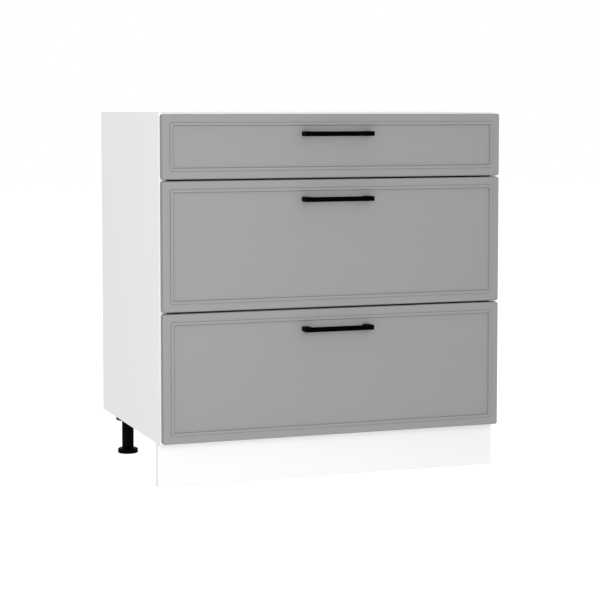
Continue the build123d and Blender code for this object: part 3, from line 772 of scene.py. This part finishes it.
def modelHandle():
    # bar with a post drawn out at each end, for the top drawer
    low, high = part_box("handle_top")
    barBack = low.y + handle["bar"]
    inner = high.x - handle["post"]
    bpy.ops.mesh.primitive_cube_add(size=1, location=(0, (low.y + barBack) / 2, (low.z + high.z) / 2))
    grip = bpy.context.object
    grip.scale = (high.x - low.x, handle["bar"], high.z - low.z)
    bpy.ops.object.transform_apply(location=True, rotation=True, scale=True)
    bpy.ops.object.mode_set(mode='EDIT')
    for x in (-inner, inner):
        bpy.ops.mesh.select_all(action='SELECT')
        bpy.ops.mesh.bisect(plane_co=(x, 0, 0), plane_no=(1, 0, 0))
    pick('FACE', lambda f: f.normal.y > 0.9 and abs(f.calc_center_median().x) > inner)
    bpy.ops.mesh.extrude_region_move(TRANSFORM_OT_translate={"value": (0, high.y - barBack, 0)})
    pick('EDGE', lambda e: abs(abs(middleOf(e).x) - inner) < slack
         and abs(middleOf(e).y - barBack) < slack and isSharp(e))
    bpy.ops.mesh.bevel(offset=handle["innerRound"], segments=handle["innerSteps"], affect='EDGES')
    pick('EDGE', lambda e: isSharp(e, 60) and middleOf(e).y < high.y - handle["footMargin"])
    bpy.ops.mesh.bevel(offset=handle["outerRound"], segments=handle["outerSteps"], affect='EDGES')
    return finishPiece(grip, "topHandle", blackPowder)


topHandle = modelHandle()
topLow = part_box("handle_top")[0]
stand(topHandle, "handle_top", "drawer_top")
for part in ("middle", "bottom"):
    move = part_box("handle_" + part)[0] - topLow
    twin = copyPiece(topHandle, part + "Handle", move)
    stand(twin, "handle_" + part, "drawer_" + part)
print("handles are made")


leg = {
    "steps": 48,
    "discTop": 0.011,
    "discRound": 0.0024,
    "discShoulder": (0.3, 0.35),  # shares of discRound, in and down, of its middle ring
    "soleRound": 0.001,
    "notches": 24,
    "notchRim": 0.0006,
    "notchDepth": 0.0005,
    "stemRadius": 0.0109,
    "stemFlare": 0.002,  # wider where it leaves the disc
    "flareRise": 0.0001,
    "collarTop": 0.0015,  # heights above the disc
    "coreFrom": 0.002,
    "threadFrom": 0.004,
    "threadMargin": 0.008,  # of the stem that has no ridge, at both ends together
    "threadPitch": 0.004,
    "threadDepth": 0.0009,
    "threadSteps": 32,
    "stemBevel": 0.001,
    "tubeRadius": 0.014,
    "tubeBore": 0.0112,
    "tubeRound": 0.0006,
}


def turnPiece(centre, rings):
    # a round face that is extruded and resized from ring to ring, left in edit mode
    radius, z = rings[0]
    bpy.ops.mesh.primitive_circle_add(
        vertices=leg["steps"], radius=radius, fill_type='NGON', location=(centre.x, centre.y, z))
    turned = bpy.context.object
    bpy.ops.object.transform_apply(location=True, rotation=True, scale=True)
    bpy.ops.object.mode_set(mode='EDIT')
    bpy.ops.mesh.select_mode(type='FACE')
    bpy.ops.mesh.select_all(action='SELECT')
    for nextRadius, nextZ in rings[1:]:
        share = nextRadius / radius
        bpy.ops.mesh.extrude_region_move(TRANSFORM_OT_translate={"value": (0, 0, nextZ - z)})
        bpy.ops.transform.resize(
            value=(share, share, 1), center_override=(centre.x, centre.y, nextZ))
        radius, z = nextRadius, nextZ
    return turned


def modelFoot(node):
    low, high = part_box(node)
    centre = (low + high) / 2
    discRadius = (high.x - low.x) / 2
    stemRadius, discTop = leg["stemRadius"], leg["discTop"]
    core = stemRadius - leg["threadDepth"]
    soft, sole = leg["discRound"], leg["soleRound"]
    shoulderIn, shoulderDown = (share * soft for share in leg["discShoulder"])
    foot = turnPiece(centre, [
        (discRadius - sole, 0.0),
        (discRadius, sole),
        (discRadius, discTop - soft),
        (discRadius - shoulderIn, discTop - shoulderDown),
        (discRadius - soft, discTop),
        (stemRadius + leg["stemFlare"], discTop),
        (stemRadius, discTop + leg["flareRise"]),
        (stemRadius, discTop + leg["collarTop"]),
        (core, discTop + leg["coreFrom"]),
        (core, high.z - leg["stemBevel"]),
        (core - leg["stemBevel"], high.z),
    ])
    # shallow finger notches in every other face of the disc's rim
    pitch = 360 / leg["notches"]

    def isNotch(face):
        spot = face.calc_center_median()
        angle = math.degrees(math.atan2(spot.y - centre.y, spot.x - centre.x)) % pitch
        onRim = (spot.xy - centre.xy).length > discRadius - sole
        return onRim and sole < spot.z < discTop - soft and angle < pitch / 2

    pick('FACE', isNotch)
    bpy.ops.mesh.inset(thickness=leg["notchRim"], depth=-leg["notchDepth"], use_individual=True)
    bpy.ops.object.mode_set(mode='OBJECT')
    bpy.ops.object.select_all(action='DESELECT')

    # helical ridge of the stem's thread
    bpy.ops.mesh.primitive_circle_add(vertices=4, radius=leg["threadDepth"], fill_type='NOTHING')
    ridge = bpy.context.object
    ridge.rotation_euler = (math.pi / 2, 0, 0)
    ridge.location = (core, 0, discTop + leg["threadFrom"])
    bpy.ops.object.transform_apply(location=True, rotation=True, scale=True)
    bpy.ops.object.modifier_add(type='SCREW')
    winding = ridge.modifiers[-1]
    winding.screw_offset = leg["threadPitch"]
    winding.iterations = int((high.z - discTop - leg["threadMargin"]) / leg["threadPitch"])
    winding.steps = winding.render_steps = leg["threadSteps"]
    bpy.ops.object.modifier_apply(modifier=winding.name)
    bpy.ops.object.mode_set(mode='EDIT')
    bpy.ops.mesh.select_mode(type='EDGE')
    bpy.ops.mesh.select_all(action='DESELECT')
    bpy.ops.mesh.select_non_manifold()
    bpy.ops.mesh.fill()
    bpy.ops.object.mode_set(mode='OBJECT')
    ridge.location = (centre.x, centre.y, 0)
    bpy.ops.object.transform_apply(location=True, rotation=True, scale=True)
    foot.select_set(True)
    ridge.select_set(True)
    bpy.context.view_layer.objects.active = foot
    bpy.ops.object.join()
    return finishPiece(foot, "footFrontLeft", blackPlastic, smooth=35)


def modelTubes():
    # four plain tubes with softened ends, one piece as in the frame
    low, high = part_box("leg_tubes")
    outer, soft = leg["tubeRadius"], leg["tubeRound"]
    made = []
    for x in (low.x + outer, high.x - outer):
        for y in (low.y + outer, high.y - outer):
            centre = Vector((x, y, 0))
            tube = turnPiece(centre, [
                (outer - soft, low.z),
                (outer, low.z + soft),
                (outer, high.z - soft),
                (outer - soft, high.z),
                (leg["tubeBore"], high.z),
                (leg["tubeBore"], low.z),
            ])
            pick('FACE', lambda f: len(f.verts) == leg["steps"])
            bpy.ops.mesh.delete(type='ONLY_FACE')
            bpy.ops.mesh.select_mode(type='EDGE')
            bpy.ops.mesh.select_non_manifold()
            bpy.ops.mesh.bridge_edge_loops()
            bpy.ops.object.mode_set(mode='OBJECT')
            bpy.ops.object.select_all(action='DESELECT')
            made.append(tube)
    for tube in made:
        tube.select_set(True)
    bpy.context.view_layer.objects.active = made[0]
    bpy.ops.object.join()
    return finishPiece(made[0], "legTubes", blackPlastic, smooth=35)


firstFoot = modelFoot("leg_foot_front_left")
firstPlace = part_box("leg_foot_front_left")[0]
stand(firstFoot, "leg_foot_front_left", "foot_front_left")
for corner in feet[1:]:
    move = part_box("leg_foot_" + corner)[0] - firstPlace
    name = "foot" + corner.title().replace("_", "")
    stand(copyPiece(firstFoot, name, move), "leg_foot_" + corner, "foot_" + corner)
stand(modelTubes(), "leg_tubes", "carcass")
print("legs are made")

size = {"cad": [list(corner) for corner in cadBox], "scene": [list(corner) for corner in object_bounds()]}
